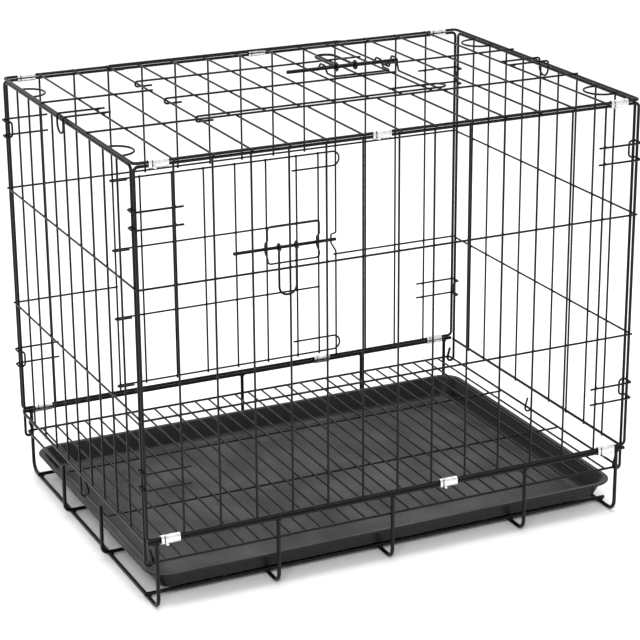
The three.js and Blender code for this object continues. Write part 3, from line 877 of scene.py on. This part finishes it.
# ---- tray ----
def tray_profile(foot, rim):
    """From under the floor, up the outside wall, over the lip and down to the floor: the tray's
    section, as pairs of inset from the lip's edge and height."""
    lean = TRAY_SLOPE / (rim - foot)
    floor_top = foot + TRAY_WALL

    def inset_at(z):
        """How far the outside wall stands in from the lip's edge at a height."""
        return TRAY_LIP + (rim - z) * lean

    profile = [(inset_at(foot) + TRAY_FILLET, foot)]
    for k in range(5):
        t = math.radians(22.5 * k)
        z = foot + TRAY_FILLET * (1 - math.cos(t))
        profile.append((inset_at(z) + TRAY_FILLET * (1 - math.sin(t)), z))
    under = rim - TRAY_WALL
    root = under - LIP_ROOT
    profile += [(inset_at(root) + LIP_ROOT, root), (TRAY_LIP - TRAY_WALL / 2, under)]
    profile += [(LIP_ROUND, under), (0.0, under + LIP_ROUND), (0.0, rim - LIP_CREST), (LIP_CREST, rim)]
    profile += [(TRAY_LIP + TRAY_WALL / 5, rim), (TRAY_LIP + TRAY_WALL * 0.8, rim - LIP_FALL)]
    for k in range(6):
        t = math.radians(90 - 18 * k)
        z = floor_top + TRAY_FILLET * (1 - math.cos(t))
        profile.append((inset_at(z) + TRAY_WALL + TRAY_FILLET * (1 - math.sin(t)), z))
    step = inset_at(floor_top) + TRAY_WALL + TRAY_FILLET + STEP_IN
    sunk = floor_top - STEP_DEPTH
    return profile + [(step, floor_top), (step + STEP_RAMP, sunk), (step + FLOOR_INSET, sunk)]


def add_tray():
    """One shell: outside wall, rolled lip, inside wall, fillet and a floor with a shallow step."""
    lowest, highest = low("tray"), high("tray")
    centre = (lowest + highest) / 2
    half_x, half_y = (highest.x - lowest.x) / 2, (highest.y - lowest.y) / 2
    mesh = bmesh.new()
    rings = []
    tightest = TRAY_FILLET + 1.0
    for inset, z in tray_profile(lowest.z, highest.z):
        bend = max(TRAY_CORNER - inset * TRAY_CORNER_SHARE, tightest)
        corners = [
            Vector((centre.x + sx * (half_x - inset), centre.y + sy * (half_y - inset), z))
            for sx, sy in ((1, 1), (-1, 1), (-1, -1), (1, -1))
        ]
        rings.append([mesh.verts.new(at) for at in rounded(corners, bend, closed=True, steps=10)])
    for first, second in zip(rings, rings[1:]):
        bridge(mesh, first, second)
    mesh.faces.new(reversed(rings[0]))
    mesh.faces.new(rings[-1])
    new_piece("tray_moulding", mesh, "tray", tray_plastic, "black_plastic", "tray")


# ---- the crate ----
add_base()
add_grate()
add_front_panel(face_of(Vector((0, middle_y - half_width, 0)), X, Z))
add_door_side(
    face_of(Vector((0, middle_y + half_width, 0)), X, -Z),
    "rear",
    "back_panel",
    -panel_top,
    -panel_bottom,
    (SINK, SINK),
)
add_door_side(
    face_of(Vector((0, middle_y, top_z)), X, Y),
    "roof",
    "top_panel",
    -half_width,
    half_width,
    (EDGE / 2 + POKE, EDGE / 2 + POKE),
)
add_end_panel("left", -1)
add_end_panel("right", 1)
add_corner_hooks()
add_top_hooks()
for clip in [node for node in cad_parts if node.startswith("clip_")]:
    add_clip(clip)
add_tray()


# ---- floor and light ----
def add_floor():
    """A square floor, wide enough to reach the horizon from every side. Its size is in metres."""
    mesh = bmesh.new()
    half = 40.0
    around_it = ((-half, -half), (half, -half), (half, half), (-half, half))
    mesh.faces.new([mesh.verts.new((x, y, 0)) for x, y in around_it])
    data = bpy.data.meshes.new("floor")
    mesh.to_mesh(data)
    mesh.free()
    data.materials.append(floor_paint)
    floor = bpy.data.objects.new("floor", data)
    bpy.context.scene.collection.objects.link(floor)


def add_softbox(name, place, size, watts):
    """A large soft lamp that faces the crate. Its place and size are in metres."""
    data = bpy.data.lights.new(name, "AREA")
    data.shape = "RECTANGLE"
    data.size, data.size_y = size
    data.energy = watts
    lamp = bpy.data.objects.new(name, data)
    lamp.location = place
    lamp.rotation_euler = (Vector((0, 0, 0.25)) - Vector(place)).to_track_quat("-Z", "Y").to_euler()
    bpy.context.scene.collection.objects.link(lamp)


def add_studio():
    world = bpy.data.worlds.new("studio")
    world.use_nodes = True
    sky = world.node_tree.nodes["Background"]
    sky.inputs["Color"].default_value = linear("#ffffff")
    sky.inputs["Strength"].default_value = 0.9
    bpy.context.scene.world = world
    bpy.context.scene.view_settings.view_transform = "Standard"
    add_softbox("overhead_softbox", (0.2, 0.4, 3.0), (2.2, 1.4), 60)
    add_softbox("front_softbox", (-1.6, -2.4, 2.2), (1.2, 1.2), 40)


add_floor()
add_studio()
